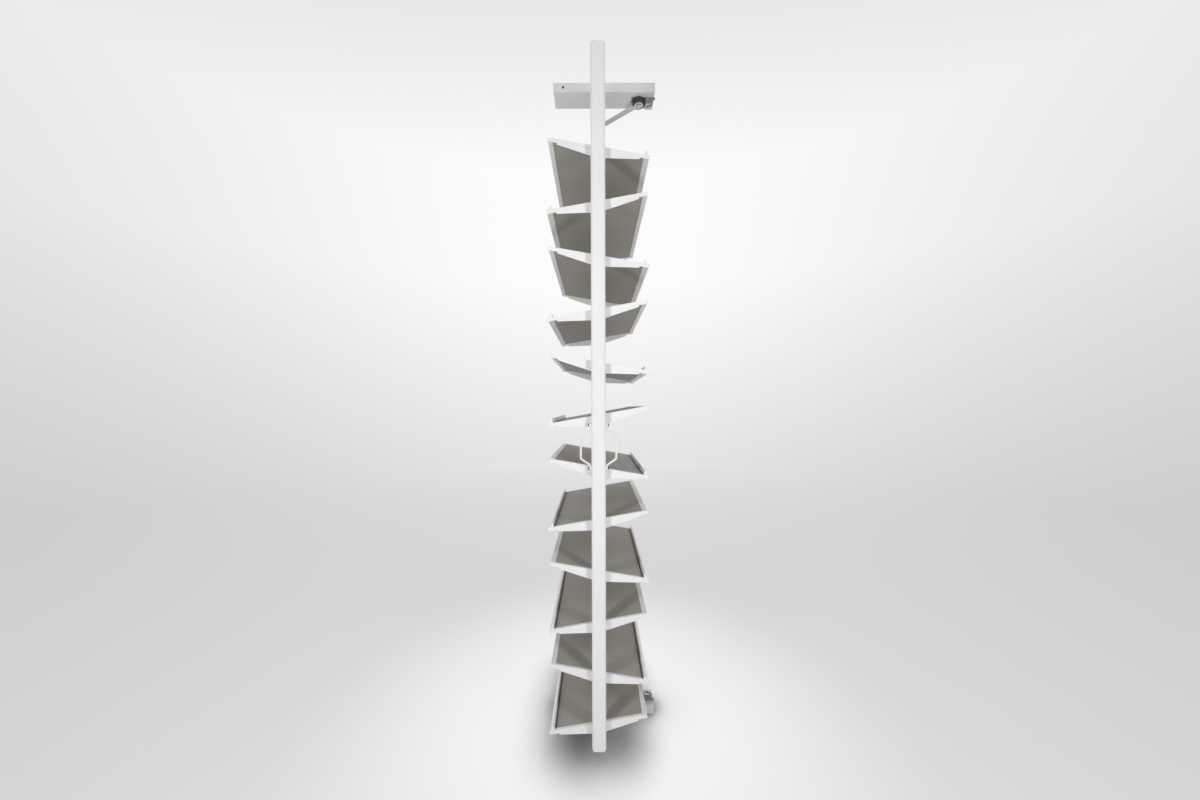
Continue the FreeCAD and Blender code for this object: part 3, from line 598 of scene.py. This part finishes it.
def layFloor(look):
    shape = bmesh.new()
    bmesh.ops.create_circle(shape, cap_ends=True, segments=look["segments"],
                            radius=look["radius"])
    bmesh.ops.translate(shape, verts=shape.verts, vec=(0, 0, -look["drop"]))
    mesh = bpy.data.meshes.new("floor")
    shape.to_mesh(mesh)
    shape.free()
    mesh.materials.append(floorPaper(look))
    sheet = bpy.data.objects.new("floor", mesh)
    bpy.context.scene.collection.objects.link(sheet)
    return sheet


def hangBackdrop(look):
    world = bpy.data.worlds.new("backdrop")
    bpy.context.scene.world = world
    recipe = Recipe(world)
    sightLine = recipe.add("TexCoord", output="Generated")
    across, deep, high = (recipe.add("SeparateXYZ", None, {0: sightLine}, axis)
                          for axis in "XYZ")
    sky = recipe.add("ValToRGB", {"stops": look["tones"]}, {0: recipe.window(high, -1, 1)})
    toSide = 1 - across * across * look["sideDrop"]
    seenSky = recipe.add("VectorMath", {"operation": "SCALE"}, {0: sky, "Scale": toSide})
    shownSky = recipe.add("Background", None, {"Color": seenSky})
    glow = recipe.window(deep, look["from"], 1, look["even"], look["behind"])
    plainSky = recipe.add("Background", None, {"Color": glow})
    mixed = recipe.add("MixShader", None, {0: recipe.shown(), 1: plainSky, 2: shownSky})
    recipe.add("OutputWorld", None, {"Surface": mixed})


floor = layFloor(stage)
hangBackdrop(backdrop)
print("stage set")


# two pairs of tall soft boxes in front, and a square one overhead
lamps = {
    "keyLow": {"azimuth": 40, "away": 1.5, "height": 0.55, "power": 4.4, "size": (0.2, 0.8)},
    "keyHigh": {"azimuth": 40, "away": 1.5, "height": 1.5, "power": 8.0, "size": (0.2, 0.8)},
    "over": {"azimuth": 0, "away": 0, "height": 3.0, "power": 7.5, "size": (1.2, 1.2)},
}
aim = Vector((0, -0.1, 1.0))


def hangLamp(name, look, side):
    light = bpy.data.lights.new(name, "AREA")
    light.shape = "RECTANGLE"
    light.energy = look["power"]
    light.size, light.size_y = look["size"]
    lamp = bpy.data.objects.new(name, light)
    angle = math.radians(look["azimuth"]) * side
    lamp.location = (aim.x + look["away"] * math.sin(angle),
                     aim.y - look["away"] * math.cos(angle), look["height"])
    level = look["height"] if look["away"] else aim.z        # a box in front shines level
    toAim = Vector((aim.x, aim.y, level)) - lamp.location
    lamp.rotation_euler = toAim.to_track_quat("-Z", "Y").to_euler()
    lamp.visible_camera = lamp.visible_glossy = False
    bpy.context.scene.collection.objects.link(lamp)


for name, look in lamps.items():
    sides = (-1, 1) if look["away"] else (1,)
    for side in sides:
        hangLamp(f"{name}_{side}", look, side)
print("lamps hung")


# standing in front at about half the tower's height, looking slightly down
view = {"place": (-0.00693, -1.33387, 1.04605), "pitch": 1.776, "roll": 0.144,
        "lens": 11.7006, "sensor": 36, "shift": (0.003317, 0.015017), "nearest": 0.05}


def setCamera(look):
    eye = bpy.data.cameras.new("camera")
    eye.lens, eye.sensor_width = look["lens"], look["sensor"]
    eye.shift_x, eye.shift_y = look["shift"]
    eye.clip_start = look["nearest"]
    camera = bpy.data.objects.new("camera", eye)
    pitch, roll = math.radians(look["pitch"]), math.radians(look["roll"])
    camera.matrix_world = (Matrix.Translation(look["place"])
                           @ Matrix.Rotation(math.pi / 2 - pitch, 4, "X")
                           @ Matrix.Rotation(-roll, 4, "Z"))
    bpy.context.scene.collection.objects.link(camera)
    bpy.context.scene.camera = camera


setCamera(view)
bpy.context.scene.view_settings.view_transform = "Standard"
print("camera set")
